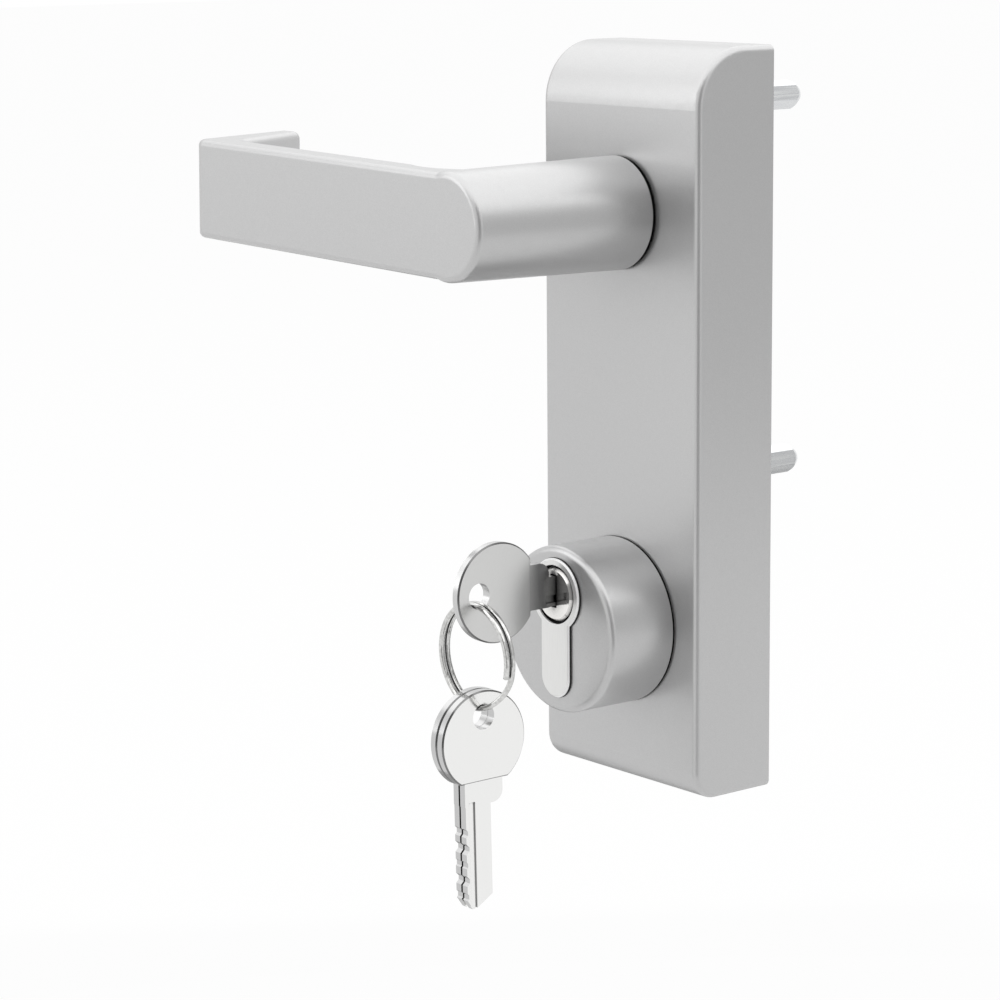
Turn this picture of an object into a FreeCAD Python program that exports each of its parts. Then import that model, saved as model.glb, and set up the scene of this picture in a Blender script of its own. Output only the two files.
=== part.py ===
import FreeCAD, Part
import math
import os

from FreeCAD import Vector

# Outside access device of a panic exit device, in millimetres.
# Origin on the door face behind the middle of the plate. +X right, +Y into the door, +Z up.

# Housing
plate_width = 54.5
plate_height = 173.5
plate_depth = 23.0
wall = 2.5
top_front_radius = 14.0
bottom_front_radius = 6.5
front_edge_radius = 1.5

# Heights of the working axes above the middle of the plate
lever_axis_z = 48.3
key_axis_z = -39.0
collar_axis_z = -47.5
upper_stud_z = 73.0
lower_stud_z = -15.2

# Clearances
fixed_gap = 0.05
running_gap = 0.05
free_gap = 0.3

# How far cutting blocks and rods reach past the face that they cut
past = 1.0

# Chassis plate and what is riveted to it
chassis_thickness = 2.0
chassis_margin = 0.2
chassis_corner_round = 2.0
rivet_tenon_radius = 1.5
chassis_screw_x = 19.5
chassis_screw_z = 77.0
chassis_boss_radius = 4.0
chassis_screw_radius = 1.6
chassis_screw_head_radius = 3.8
chassis_screw_head_depth = 2.0
chassis_screw_length = 11.0
chassis_hole_depth = 14.0
cross_slot_length = 4.4
cross_slot_width = 0.9
cross_slot_depth = 1.0

# Fixing studs that pass through the door
stud_across_flats = 6.0
stud_turn = 12.0
stud_reach = 32.5
stud_end_radius = 2.2
stud_end_taper = 1.9
stud_flange_radius = 5.0
stud_flange_thickness = 1.5
stud_root_radius = 3.5
stud_thread_radius = 1.65
stud_thread_depth = 16.0

# Lever handle
grip_height = 24.0
grip_thickness = 8.0
grip_reach = 99.0
grip_face_y = -74.0
grip_tilt = 1.35
grip_front_round = 1.5
grip_back_round = 2.0
return_end_y = -42.2
return_splay = 8.0
return_end_thickness = 6.0
return_corner_thickness = 8.4
return_outer_round = 3.5
return_inner_round = 5.0
return_end_round = 1.5
neck_front_radius = 12.4
neck_base_radius = 13.2
neck_base_chamfer = 0.35
neck_blend_round = 8.0
neck_blend_flat = 0.4
bush_gap = 0.75

# Bearing of the lever in the housing
journal_radius = 9.5
bush_outer_radius = 11.0
bush_flange_radius = 12.3
bush_flange_thickness = 0.7
journal_end_y = -18.4
shank_width = 10.0
shank_length = 20.0
tang_width = 11.0
tang_length = 2.5
tang_corner_radius = 6.8
circlip_thickness = 1.0
circlip_radius = 12.6
circlip_groove_radius = 8.6
circlip_opening = 9.0
grub_radius = 3.0
grub_y = -34.0
grub_length = 6.8
grub_socket_width = 3.0
grub_socket_depth = 3.0

# Follower cup on the lever and driver on the spindle
cup_front_y = -18.3
cup_back_y = -6.8
cup_radius = 15.0
cup_bore_radius = 11.0
cup_web = 2.5
cup_rim_thickness = 2.5
finger_inner_radius = 18.5
finger_outer_radius = 21.5
finger_width = 4.0
finger_angle = -25.0
finger_arm_root = 2.0
lever_throw = 40.0
driver_radius = 10.9
driver_front_y = -15.6
driver_back_y = -6.5
driver_boss_radius = 6.8
driver_boss_end_y = -0.3
spindle_width = 8.0
spindle_reach = 22.0
spindle_chamfer = 0.8

# Stop posts and return spring
stop_post_radius = 2.0
stop_post_circle = 20.0
stop_clearance = 0.35
return_spring_radius = 16.6
return_spring_wire = 0.9
return_spring_pitch = 1.35
return_spring_turns = 2
return_spring_bend = 2.0
return_spring_leg_end = 21.5
spring_post_setback = 1.0
spring_post_radius = 1.5
spring_post_angle = 180.0

# Coupling pin that joins cup and driver
pin_angle = 20.0
pin_radius = 2.0
pin_y = -11.0
pin_tip_r = 8.9
pin_top_r = 16.2
pin_head_radius = 2.6
pin_head_thickness = 0.9
pin_spring_wire = 0.35
pin_spring_radius = 2.3
pin_spring_turns = 3
pin_pocket_depth = 3.0

# Coupling slide worked by the lock cam
slide_travel = 3.0
slide_thickness = 2.0
slide_back_y = -3.8
slide_half_width = 6.5
slide_eye_half_width = 10.3
slide_bottom_z = -30.0
shoe_thickness = 3.0
shoe_front_y = -13.6
shoe_half_angle = 33.0
foot_inner_x = 11.0
foot_outer_x = 20.0
foot_front_y = -15.0
foot_top_z = -24.0
toe_depth = 3.0
eye_margin = 3.0
guide_upper_z = 22.0
guide_lower_z = -7.0
guide_shank_radius = 2.5
guide_head_radius = 4.5
guide_head_thickness = 1.2
slide_ear_x = -10.0
slide_ear_half_width = 3.0
slide_ear_top_z = 0.0
slide_ear_height = 3.0
slide_spring_length = 14.0
slide_spring_radius = 1.6
slide_spring_wire = 0.7
slide_spring_turns = 6
spring_tab_thickness = 1.5

# Collar round the cylinder
collar_radius = 19.65
collar_length = 19.0
collar_face_thickness = 5.0
collar_wall = 3.0
collar_edge_round = 1.5
gasket_thickness = 0.55
gasket_setback = 0.9
collar_screw_x = 14.6
collar_screw_radius = 1.9
collar_screw_head_radius = 3.5
collar_screw_head_thickness = 2.2
collar_screw_length = 8.0
collar_hole_depth = 9.0
collar_boss_radius = 3.6
collar_sleeve_wall = 2.0
collar_slot_length = 4.0
collar_slot_width = 0.8
collar_slot_depth = 1.0

# Profile cylinder
profile_radius = 8.5
profile_foot_width = 10.0
profile_height = 33.0
profile_chamfer = 0.4
cylinder_proud = 0.9
cylinder_front_length = 24.7
cam_zone_width = 9.8
cylinder_back_y = -3.3
bridge_top_drop = 16.2
plug_radius = 6.9
plug_proud = 0.2
plug_chamfer = 0.6
plug_front_radius = 6.3
plug_front_depth = 1.6
rear_wall = 1.0
keyway_end_wall = 0.8
plug_tail_radius = 4.5
keyway_width = 2.2
keyway_low = -3.0
keyway_high = 4.8
plug_circlip_radius = 6.3
plug_circlip_thickness = 0.8
plug_circlip_opening = 4.0
plug_groove_radius = 4.0
plug_tail_flats = 7.4
cam_width = 8.6
cam_side_gap = 0.3
cam_ring_radius = 7.5
cam_lobe_radius = 15.4
cam_lobe_half_width = 3.4
cylinder_screw_y = -13.3
cylinder_screw_drop = 20.5
cylinder_screw_radius = 2.5
cylinder_screw_head_radius = 4.0
cylinder_screw_head_thickness = 2.5
cylinder_slot_width = 1.0
cylinder_slot_depth = 1.2
cradle_thickness = 2.0
cradle_base_thickness = 1.2
cradle_foot_length = 5.0
cradle_half_height = 3.5
cradle_reach = 4.0

# Pin tumblers
chamber_radius = 1.5
tumbler_radius = 1.4
first_chamber_y = -39.0
chamber_pitch = 3.8
cut_depths = [2.0, 1.7, 2.2, 1.8, 2.1]
cut_flat = 1.0
driver_pin_length = 5.5
chamber_plug_length = 2.0
key_pin_tip_radius = 0.4
tumbler_spring_margin = 0.1
tumbler_spring_wall = 0.5

# Keys
bow_radius = 11.7
bow_thickness = 2.4
bow_centre_y = -60.3
bow_rise = 3.0
bow_hole_radius = 3.0
bow_hole_back = 5.6
bow_chamfer = 0.35
bow_to_shank = 9.6
blade_thickness = 1.9
shank_end_y = -45.2
shank_low = -2.6
shank_high = 8.1
shank_corner_round = 2.8
shank_overlap = 4.0
blade_low = -2.5
blade_high = 4.6
blade_end_y = -20.6
blade_tip_low = (2.4, -0.9)
blade_tip_high = (2.9, -0.3)
blade_groove_depth = 0.45
blade_grooves = [(1, -0.7, 0.9), (-1, 2.4, 0.8)]
spare_key_turn = -2.0
spare_key_tilt = 1.0
spare_key_gap = 0.1

# Split ring
ring_radius = 12.0
ring_wire = 1.2
ring_turn_gap = 0.45
ring_climb = 57.0
ring_climb_start = 288.0
ring_drop_in_hole = 2.1
spare_hole_drop = 1.75

X = Vector(1, 0, 0)
Y = Vector(0, 1, 0)
Z = Vector(0, 0, 1)

front_y = -plate_depth
inner_front_y = front_y + wall
chassis_front_y = -chassis_thickness
half_width = plate_width / 2
half_height = plate_height / 2
neck_end_y = front_y - bush_gap
collar_front_y = front_y - collar_length
cylinder_front_y = collar_front_y - cylinder_proud
cam_zone_front_y = cylinder_front_y + cylinder_front_length
cam_zone_back_y = cam_zone_front_y + cam_zone_width
cam_back_y = cam_zone_back_y - cam_side_gap
cam_front_y = cam_back_y - cam_width
shear_z = key_axis_z - plug_radius
key_hole_y = bow_centre_y - bow_hole_back
key_hole_z = key_axis_z + bow_rise
chamber_ys = [first_chamber_y + i * chamber_pitch for i in range(len(cut_depths))]


def box(x0, x1, y0, y1, z0, z1):
    """Block between two corners."""
    return Part.makeBox(x1 - x0, y1 - y0, z1 - z0, Vector(x0, y0, z0))


def rod_y(x, z, radius, y0, y1):
    """Cylinder along Y."""
    return Part.makeCylinder(radius, y1 - y0, Vector(x, y0, z), Y)


def rod_z(x, y, radius, z0, z1):
    """Cylinder along Z."""
    return Part.makeCylinder(radius, z1 - z0, Vector(x, y, z0), Z)


def rod_x(y, z, radius, x0, x1):
    """Cylinder along X."""
    return Part.makeCylinder(radius, x1 - x0, Vector(x0, y, z), X)


def turned(shape, angle, axis_z=lever_axis_z):
    """Shape turned about the Y axis at a height, lifting its left side for a positive angle."""
    copy = shape.copy()
    copy.rotate(Vector(0, 0, axis_z), Y, angle)
    return copy


def polar(radius, angle, y, axis_z=lever_axis_z):
    """Point at a radius and an angle above +X, seen from the front."""
    a = math.radians(angle)
    return Vector(radius * math.cos(a), y, axis_z + radius * math.sin(a))


def arc_leaving(start, tangent, end):
    """Arc edge that leaves start along tangent and reaches end."""
    chord = end - start
    along = Vector(chord).normalize()
    lean = tangent - along * tangent.dot(along)
    sagitta = chord.Length / 2 * math.tan(math.acos(max(-1.0, min(1.0, tangent.dot(along)))) / 2)
    middle = (start + end) * 0.5 + lean.normalize() * sagitta
    return Part.Arc(start, middle, end).toShape()


def biarc(start, t0, end, t1):
    """Two tangent arcs between two points with given unit tangents."""
    v = end - start
    t = t0 + t1
    k = 2 * (1 - t0.dot(t1))
    d = (math.sqrt(v.dot(t) ** 2 + k * v.dot(v)) - v.dot(t)) / k
    joint = (start + t0 * d + end - t1 * d) * 0.5
    middle = Vector(end - t1 * d - start - t0 * d).normalize()
    return [arc_leaving(start, t0, joint), arc_leaving(joint, middle, end)]


def coil_path(turns, point):
    """Quarter-turn biarcs along a helix; point gives place and tangent at an angle."""
    steps = int(round(turns * 4))
    edges = []
    for i in range(steps):
        p0, t0 = point(i * turns * 2 * math.pi / steps)
        p1, t1 = point((i + 1) * turns * 2 * math.pi / steps)
        edges += biarc(p0, t0, p1, t1)
    return edges


def helix(centre, radius, pitch, start_angle, axis, side, hand=1):
    """Place and tangent on a helix round axis, starting towards side."""
    up = axis.cross(side)

    def point(a):
        b = start_angle + hand * a
        place = centre + side * (radius * math.cos(b)) + up * (radius * math.sin(b))
        place = place + axis * (pitch * a / (2 * math.pi))
        tangent = side * (-hand * math.sin(b)) + up * (hand * math.cos(b))
        tangent = tangent * radius + axis * (pitch / (2 * math.pi))
        return place, tangent.normalize()
    return point


def wire_tube(edges, wire_radius, start, tangent):
    """Round wire swept along tangent edges."""
    shell = Part.BRepOffsetAPI.MakePipeShell(Part.Wire(edges))
    circle = Part.Wire(Part.makeCircle(wire_radius, start, tangent))
    shell.add(circle, False, False)
    shell.build()
    shell.makeSolid()
    return shell.shape()


def least_gap(name, point, turns, wire):
    """Print the least gap between a coil and its own next turns."""
    count = 240
    span = turns * 2 * math.pi
    places = [point(i * span / count)[0] for i in range(count + 1)]
    apart = int(count / turns / 2)
    gap = min((places[i] - places[j]).Length
              for i in range(len(places)) for j in range(i + apart, len(places)))
    print(name, "least gap to itself", round(gap - wire, 3), "mm")


def plate_x(outline, x0, x1):
    """Flat piece between two X planes, from an outline of Y and Z."""
    corners = [Vector(x0, y, z) for y, z in outline]
    return Part.Face(Part.makePolygon(corners + corners[:1])).extrude(X * (x1 - x0))


def rounded_outline(corners):
    """Closed wire through corner points, each rounded by its own radius."""
    starts, ends, middles = [], [], []
    for i, (corner, radius) in enumerate(corners):
        back = Vector(corners[i - 1][0] - corner).normalize()
        ahead = Vector(corners[(i + 1) % len(corners)][0] - corner).normalize()
        half = math.acos(back.dot(ahead)) / 2
        bisector = Vector(back + ahead).normalize()
        starts.append(corner + back * (radius / math.tan(half)))
        ends.append(corner + ahead * (radius / math.tan(half)))
        middles.append(corner + bisector * (radius / math.sin(half) - radius))
    edges = []
    for i, (corner, radius) in enumerate(corners):
        if radius > 0:
            edges.append(Part.Arc(starts[i], middles[i], ends[i]).toShape())
        edges.append(Part.makeLine(ends[i], starts[(i + 1) % len(corners)]))
    return Part.Wire(edges)


def edges_where(shape, test):
    """Edges whose middle point passes a test."""
    found = []
    for edge in shape.Edges:
        middle = edge.valueAt((edge.FirstParameter + edge.LastParameter) / 2)
        if test(middle, edge):
            found.append(edge)
    return found


def round_edges_at(shape, y):
    """Full circles of a shape in one plane across Y."""
    return edges_where(shape, lambda m, e: abs(m.y - y) < 0.01 and len(e.Vertexes) == 1)


def side_profile(inset, back_y):
    """Side outline of the housing, rounded at its two front corners."""
    y0 = front_y + inset
    z0 = -half_height + inset
    z1 = half_height - inset
    r0 = bottom_front_radius - inset
    r1 = top_front_radius - inset
    x = -half_width + inset
    c = math.sqrt(0.5)
    p = [Vector(x, back_y, z0), Vector(x, y0 + r0, z0), Vector(x, y0 + r0 * (1 - c), z0 + r0 * (1 - c)),
         Vector(x, y0, z0 + r0), Vector(x, y0, z1 - r1),
         Vector(x, y0 + r1 * (1 - c), z1 - r1 * (1 - c)), Vector(x, y0 + r1, z1), Vector(x, back_y, z1)]
    edges = [Part.makeLine(p[0], p[1]), Part.Arc(p[1], p[2], p[3]).toShape(), Part.makeLine(p[3], p[4]),
             Part.Arc(p[4], p[5], p[6]).toShape(), Part.makeLine(p[6], p[7]), Part.makeLine(p[7], p[0])]
    return Part.Face(Part.Wire(edges)).extrude(X * (plate_width - 2 * inset))


def profile_prism(grow, y0, y1):
    """Profile-cylinder section, grown all round, between two depths."""
    foot = profile_foot_width / 2 + grow
    foot_z = key_axis_z + profile_radius - profile_height + profile_foot_width / 2
    head = rod_y(0, key_axis_z, profile_radius + grow, y0, y1)
    web = box(-foot, foot, y0, y1, foot_z, key_axis_z)
    return head.fuse(web).fuse(rod_y(0, foot_z, foot, y0, y1)).removeSplitter()


def square_y(width, z, y0, y1):
    """Square bar along Y, centred on X = 0."""
    return box(-width / 2, width / 2, y0, y1, z - width / 2, z + width / 2)


def riveted_post(x, z, radius, tip_y):
    """Post on the chassis with a tenon through it."""
    tenon = rod_y(x, z, rivet_tenon_radius, chassis_front_y, -fixed_gap)
    return rod_y(x, z, radius, tip_y, chassis_front_y).fuse(tenon)


def screw_positions():
    """The four chassis screws."""
    return [(sx * chassis_screw_x, sz * chassis_screw_z) for sx in (-1, 1) for sz in (-1, 1)]


def stop_positions():
    """The two stop posts, just past each side of the finger's travel."""
    half = math.degrees((finger_width / 2 + stop_post_radius + stop_clearance) / stop_post_circle)
    low = polar(stop_post_circle, finger_angle - half, 0)
    high = polar(stop_post_circle, finger_angle + lever_throw + half, 0)
    return [(low.x, low.z), (high.x, high.z)]


def leg_bend(line_angle, offset, side):
    """Where a spring leg's bend meets the coil, as an angle, and where it meets the leg, as a radius."""
    aside = offset + side * return_spring_bend
    out = math.sqrt((return_spring_radius + return_spring_bend) ** 2 - aside ** 2)
    return line_angle + math.degrees(math.atan2(aside, out)), out


def beside(angle, out, aside, y):
    """Point at a distance out along an angle from the lever axis, and aside from that line."""
    a = math.radians(angle)
    return Vector(out * math.cos(a) - aside * math.sin(a), y,
                  lever_axis_z + out * math.sin(a) + aside * math.cos(a))


def spring_post_place():
    """Centre of the post behind the return spring's fixed leg."""
    aside = return_spring_wire / 2 + fixed_gap + spring_post_radius
    return beside(spring_post_angle, stop_post_circle, aside, 0)


guide_positions = [(0, guide_upper_z), (0, guide_lower_z)]


# Housing cover
def make_housing_cover():
    cover = side_profile(0, 0)
    rim = edges_where(cover, lambda m, e: abs(abs(m.x) - half_width) < 0.01 and m.y < -0.01)
    cover = cover.makeFillet(front_edge_radius, rim)
    outer = cover.copy()
    cover = cover.cut(side_profile(wall, past))
    for x, z in screw_positions():
        boss = rod_y(x, z, chassis_boss_radius, front_y, chassis_front_y).common(outer)
        cover = cover.fuse(boss)
    for x, z in screw_positions():
        cover = cover.cut(rod_y(x, z, chassis_screw_radius + fixed_gap, -chassis_hole_depth, 0))
    cover = cover.cut(rod_y(0, lever_axis_z, bush_outer_radius + fixed_gap, front_y - past,
                            inner_front_y + past))
    cover = cover.cut(profile_prism(free_gap, front_y - past, inner_front_y + past))
    for sx in (-1, 1):
        hole = rod_y(sx * collar_screw_x, collar_axis_z, collar_screw_radius + fixed_gap,
                     front_y - past, inner_front_y + past)
        cover = cover.cut(hole)
    return cover.removeSplitter()


# Chassis plate
def make_chassis_plate():
    x = half_width - wall - chassis_margin
    z = half_height - wall - chassis_margin
    plate = box(-x, x, chassis_front_y, 0, -z, z)
    corners = edges_where(plate, lambda m, e: abs(abs(m.x) - x) < 0.01 and abs(abs(m.z) - z) < 0.01)
    plate = plate.makeFillet(chassis_corner_round, corners)
    for sx, sz in screw_positions():
        cone = Part.makeCone(chassis_screw_radius + 2 * fixed_gap, chassis_screw_head_radius + 2 * fixed_gap,
                             chassis_screw_head_depth, Vector(sx, -chassis_screw_head_depth, sz), Y)
        plate = plate.cut(cone)
    plate = plate.cut(rod_y(0, lever_axis_z, driver_boss_radius + running_gap, chassis_front_y - past, past))
    for z_stud in (upper_stud_z, lower_stud_z):
        plate = plate.cut(rod_y(0, z_stud, stud_root_radius + fixed_gap, chassis_front_y - past, past))
    post = spring_post_place()
    tenons = stop_positions() + guide_positions + [(post.x, post.z)]
    for px, pz in tenons:
        plate = plate.cut(rod_y(px, pz, rivet_tenon_radius + fixed_gap, chassis_front_y - past, past))
    tab_z = slide_ear_top_z + slide_spring_length
    tab = box(slide_ear_x - slide_ear_half_width, slide_ear_x + slide_ear_half_width,
              slide_back_y - slide_thickness, chassis_front_y, tab_z, tab_z + spring_tab_thickness)
    return plate.fuse(tab).removeSplitter()


# Countersunk screws that hold the chassis in the cover
def make_chassis_screws():
    screws = []
    for x, z in screw_positions():
        head = Part.makeCone(chassis_screw_radius, chassis_screw_head_radius, chassis_screw_head_depth,
                             Vector(x, -chassis_screw_head_depth, z), Y)
        shank = rod_y(x, z, chassis_screw_radius, -chassis_screw_length, -chassis_screw_head_depth)
        screw = head.fuse(shank)
        for across, tall in ((cross_slot_length, cross_slot_width), (cross_slot_width, cross_slot_length)):
            screw = screw.cut(box(x - across / 2, x + across / 2, -cross_slot_depth, past,
                                  z - tall / 2, z + tall / 2))
        screws.append(screw.removeSplitter())
    return Part.makeCompound(screws)


# Hexagonal studs that pass through the door, each with a tapped end
def make_fixing_studs():
    studs = []
    corner = stud_across_flats / math.sqrt(3)
    for z in (upper_stud_z, lower_stud_z):
        flange = rod_y(0, z, stud_flange_radius, chassis_front_y - stud_flange_thickness, chassis_front_y)
        root = rod_y(0, z, stud_root_radius, chassis_front_y, 0)
        ring = [polar(corner, stud_turn + 30 + 60 * i, 0, z) for i in range(7)]
        hexagon = Part.Face(Part.makePolygon(ring)).extrude(Y * stud_reach)
        taper_y = stud_reach - stud_end_taper
        turned_end = Part.makeCone(corner, stud_end_radius, stud_end_taper, Vector(0, taper_y, z), Y)
        shank = hexagon.common(rod_y(0, z, corner, 0, taper_y).fuse(turned_end))
        thread = rod_y(0, z, stud_thread_radius, stud_reach - stud_thread_depth, stud_reach + past)
        studs.append(flange.fuse(root).fuse(shank).cut(thread).removeSplitter())
    return Part.makeCompound(studs)


# Nylon bush between the cover and the lever's journal
def make_bearing_bush():
    flange = rod_y(0, lever_axis_z, bush_flange_radius, front_y - bush_flange_thickness, front_y)
    sleeve = rod_y(0, lever_axis_z, bush_outer_radius, front_y, inner_front_y)
    bore = rod_y(0, lever_axis_z, journal_radius + running_gap, front_y - bush_flange_thickness - past,
                 inner_front_y + past)
    return flange.fuse(sleeve).cut(bore).removeSplitter()


def neck_radius_at(y):
    """Radius of the neck, which widens evenly from the grip's face to its base."""
    share = (y - grip_face_y) / (neck_end_y - grip_face_y)
    return neck_front_radius + (neck_base_radius - neck_front_radius) * share


# Lever handle: round neck, flat grip and its return towards the door
def make_lever_handle():
    half = grip_height / 2
    low = Vector(0, 0, -half)
    back_y = grip_face_y + grip_thickness
    blend_y = back_y + neck_blend_round
    blend_x = -neck_radius_at(blend_y)
    root_x = blend_x - neck_blend_round
    end = Vector(-grip_reach - return_splay, return_end_y, 0)
    lean = math.atan2(return_splay, return_end_y - grip_face_y)
    across = Vector(math.cos(lean), math.sin(lean), 0)
    corners = [(Vector(root_x, grip_face_y, 0), 0),
               (Vector(-grip_reach, grip_face_y, 0), return_outer_round),
               (end, 0),
               (end + across * return_end_thickness, 0),
               (Vector(-grip_reach + return_corner_thickness, back_y, 0), return_inner_round),
               (Vector(root_x, back_y, 0), 0)]
    bar = Part.Face(rounded_outline([(p + low, r) for p, r in corners])).extrude(Z * grip_height)

    def rim(y):
        return lambda m, e: abs(abs(m.z) - half) < 0.01 and abs(m.y - y) < 0.01
    bar = bar.makeFillet(grip_front_round, edges_where(bar, rim(grip_face_y)))
    bar = bar.makeFillet(grip_back_round, edges_where(bar, rim(back_y)))
    outward = Vector(-across.y, across.x, 0)
    bar = bar.makeFillet(return_end_round, edges_where(bar, lambda m, e: abs((m - end).dot(outward)) < 0.01))

    centre = Vector(root_x, blend_y, -half)
    p = [Vector(0, grip_face_y, -half), Vector(root_x, grip_face_y, -half), Vector(root_x, back_y, -half),
         centre + Vector(1, -1, 0).normalize() * neck_blend_round, Vector(blend_x, blend_y, -half),
         Vector(0, blend_y, -half)]
    outline = [Part.makeLine(p[0], p[1]), Part.makeLine(p[1], p[2]), Part.Arc(p[2], p[3], p[4]).toShape(),
               Part.makeLine(p[4], p[5]), Part.makeLine(p[5], p[0])]
    root = Part.Face(Part.Wire(outline)).extrude(Z * grip_height)
    root = root.makeFillet(grip_front_round, edges_where(root, rim(grip_face_y)))
    for side in (-1, 1):
        arc = edges_where(root, lambda m, e: abs(m.z - side * half) < 0.01
                          and isinstance(e.Curve, Part.Circle) and e.Curve.Radius > neck_blend_round / 2
                          and abs(e.Length - neck_blend_round * math.pi / 2) < 0.01)
        root = root.makeFillet(grip_back_round, half - neck_blend_flat / 2, arc)

    neck = Part.makeCone(neck_front_radius, neck_base_radius, neck_end_y - grip_face_y,
                         Vector(0, grip_face_y, 0), Y)
    neck = neck.makeFillet(grip_front_round, round_edges_at(neck, grip_face_y))
    neck = neck.makeChamfer(neck_base_chamfer, round_edges_at(neck, neck_end_y))
    handle = bar.fuse(root).fuse(neck).removeSplitter()

    socket_y = neck_end_y - shank_length - fixed_gap
    socket = square_y(shank_width + 2 * fixed_gap, 0, socket_y, neck_end_y + past)
    grub_hole = rod_z(0, grub_y, grub_radius + fixed_gap, -neck_base_radius - past, -shank_width / 2 + past)
    handle = handle.cut(socket).cut(grub_hole)
    handle.translate(Z * lever_axis_z)
    return turned(handle, grip_tilt)


# Steel journal that is pinned in the neck and turns in the bush
def make_lever_journal():
    shank = square_y(shank_width, lever_axis_z, neck_end_y - shank_length, neck_end_y + past)
    shaft = rod_y(0, lever_axis_z, journal_radius, neck_end_y, journal_end_y)
    groove_y = inner_front_y + fixed_gap
    groove_end = groove_y + circlip_thickness + fixed_gap
    groove = rod_y(0, lever_axis_z, journal_radius + past, groove_y, groove_end)
    groove = groove.cut(rod_y(0, lever_axis_z, circlip_groove_radius, groove_y - past, groove_end + past))
    tang = square_y(tang_width, lever_axis_z, journal_end_y, journal_end_y + tang_length)
    tang = tang.common(rod_y(0, lever_axis_z, tang_corner_radius, journal_end_y, journal_end_y + tang_length))
    return turned(shank.fuse(shaft).cut(groove).fuse(tang).removeSplitter(), grip_tilt)


# Grub screw under the neck
def make_grub_screw():
    top = lever_axis_z - shank_width / 2 - fixed_gap
    screw = rod_z(0, grub_y, grub_radius, top - grub_length, top)
    across = grub_socket_width / math.sqrt(3)
    corners = [Vector(across * math.cos(math.radians(a)), grub_y + across * math.sin(math.radians(a)),
                      top - grub_length) for a in range(0, 361, 60)]
    socket = Part.Face(Part.makePolygon(corners)).extrude(Z * grub_socket_depth)
    return turned(screw.cut(socket), grip_tilt)


# Circlips that keep the journal in the bush and the plug in its body
def make_circlip(outer, inner, thickness, z, y, opening):
    """Flat ring with an opening at its foot."""
    ring = rod_y(0, z, outer, y, y + thickness).cut(rod_y(0, z, inner, y - past, y + thickness + past))
    return ring.cut(box(-opening / 2, opening / 2, y - past, y + thickness + past, z - outer - past, z))


# Cup that the lever turns, with the finger that meets the stops
def make_follower_cup():
    cup = rod_y(0, lever_axis_z, cup_radius, cup_front_y, cup_back_y)
    web_back_y = cup_front_y + cup_web
    cup = cup.cut(rod_y(0, lever_axis_z, cup_bore_radius, web_back_y, cup_back_y + past))
    hole = square_y(tang_width + 2 * fixed_gap, lever_axis_z, cup_front_y - past, web_back_y + past)
    half = finger_width / 2
    finger = box(finger_inner_radius, finger_outer_radius, cup_front_y, cup_back_y,
                 lever_axis_z - half, lever_axis_z + half)
    arm = box(cup_radius - finger_arm_root, finger_outer_radius, cup_back_y - cup_rim_thickness, cup_back_y,
              lever_axis_z - half, lever_axis_z + half)
    cup = cup.fuse(turned(finger.fuse(arm), -finger_angle)).removeSplitter()
    pin_hole = rod_z(0, pin_y, pin_radius + running_gap, lever_axis_z, lever_axis_z + cup_radius + past)
    pocket = rod_z(0, pin_y, pin_head_radius + free_gap / 2, lever_axis_z + cup_radius - pin_pocket_depth,
                   lever_axis_z + cup_radius + past)
    return cup.cut(turned(hole, grip_tilt)).cut(turned(pin_hole.fuse(pocket), pin_angle))


# Pin between cup and driver
def make_coupling_pin():
    top = lever_axis_z + pin_top_r
    body = rod_z(0, pin_y, pin_radius, lever_axis_z + pin_tip_r, top)
    head = rod_z(0, pin_y, pin_head_radius, top - pin_head_thickness, top)
    return turned(body.fuse(head).removeSplitter(), pin_angle)


# Spring under the pin's head, held compressed while the pin is in
def make_pin_spring():
    floor_r = cup_radius - pin_pocket_depth
    length = pin_top_r - pin_head_thickness - floor_r
    pitch = (length - pin_spring_wire - 2 * fixed_gap) / pin_spring_turns
    a = math.radians(90 - pin_angle)
    axis = Vector(math.cos(a), 0, math.sin(a))
    start_r = floor_r + pin_spring_wire / 2 + fixed_gap
    centre = Vector(0, pin_y, lever_axis_z) + axis * start_r
    point = helix(centre, pin_spring_radius, pitch, 0, axis, Y)
    least_gap("pin spring", point, pin_spring_turns, pin_spring_wire)
    start, tangent = point(0)
    return wire_tube(coil_path(pin_spring_turns, point), pin_spring_wire / 2, start, tangent)


# Driver that carries the tail spindle
def make_spindle_driver():
    disc = rod_y(0, lever_axis_z, driver_radius, driver_front_y, driver_back_y)
    boss = rod_y(0, lever_axis_z, driver_boss_radius, driver_back_y, driver_boss_end_y)
    driver = disc.fuse(boss).removeSplitter()
    driver = driver.cut(square_y(spindle_width + 2 * fixed_gap, lever_axis_z, driver_front_y - past, past))
    socket = rod_z(0, pin_y, pin_radius + running_gap, lever_axis_z + pin_tip_r - free_gap,
                   lever_axis_z + driver_radius + past)
    return driver.cut(turned(socket, pin_angle))


# Square spindle that goes through the door
def make_tail_spindle():
    bar = square_y(spindle_width, lever_axis_z, driver_front_y, spindle_reach)
    ends = edges_where(bar, lambda m, e: abs(m.y - spindle_reach) < 0.01)
    return bar.makeChamfer(spindle_chamfer, ends)


# Posts that stop the finger
def make_stop_posts():
    return Part.makeCompound([riveted_post(x, z, stop_post_radius, cup_back_y - cup_rim_thickness)
                              for x, z in stop_positions()])


# Post behind the return spring's fixed leg
def make_spring_post():
    place = spring_post_place()
    return riveted_post(place.x, place.z, spring_post_radius, cup_front_y + spring_post_setback)


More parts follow.
